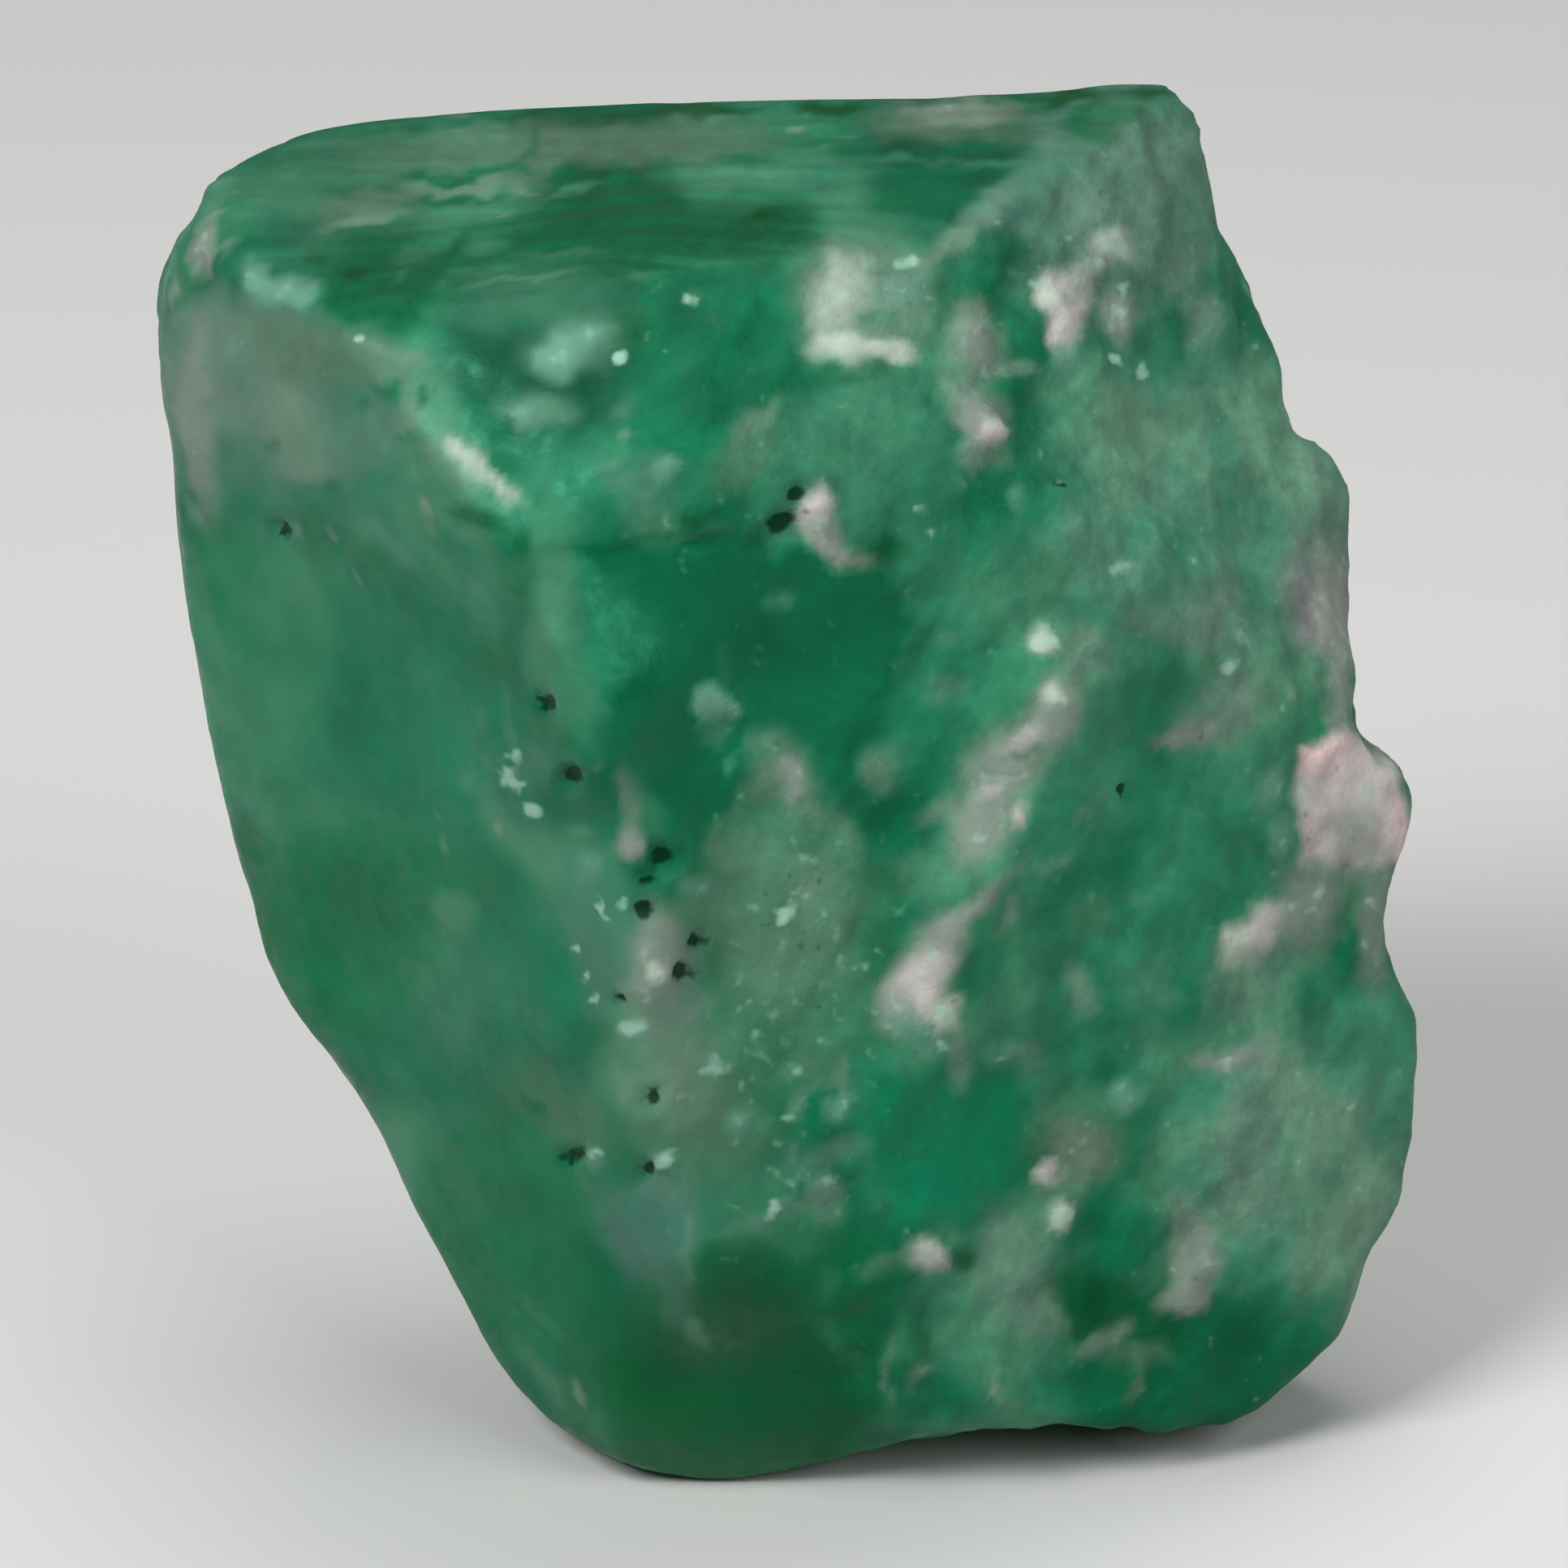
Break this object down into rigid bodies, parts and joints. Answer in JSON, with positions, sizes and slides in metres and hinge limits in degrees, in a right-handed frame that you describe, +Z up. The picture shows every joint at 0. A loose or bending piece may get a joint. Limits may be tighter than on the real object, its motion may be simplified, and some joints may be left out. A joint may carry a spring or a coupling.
{
  "type": "rough emerald",
  "caption": "A rough, worn piece of green beryl: flat growth-lined prism faces above and behind, a smooth left end, and a broken front with ledges and ribs, standing on a small flat spot.",
  "frame": {"origin": "middle of the bounding box in X and Y, on the floor the stone stands on", "axes": "+X to the picture's right along the crystal's long axis, +Y into the stone, away from the pictured front, +Z up"},
  "size_m": [0.0198, 0.0156, 0.0201],
  "materials": {
    "emerald": "semi-gloss, see-through green, cloudy and frosted in places"
  },
  "bodies": {
    "root": {"emerald": "emerald"}
  },
  "joints": []
}
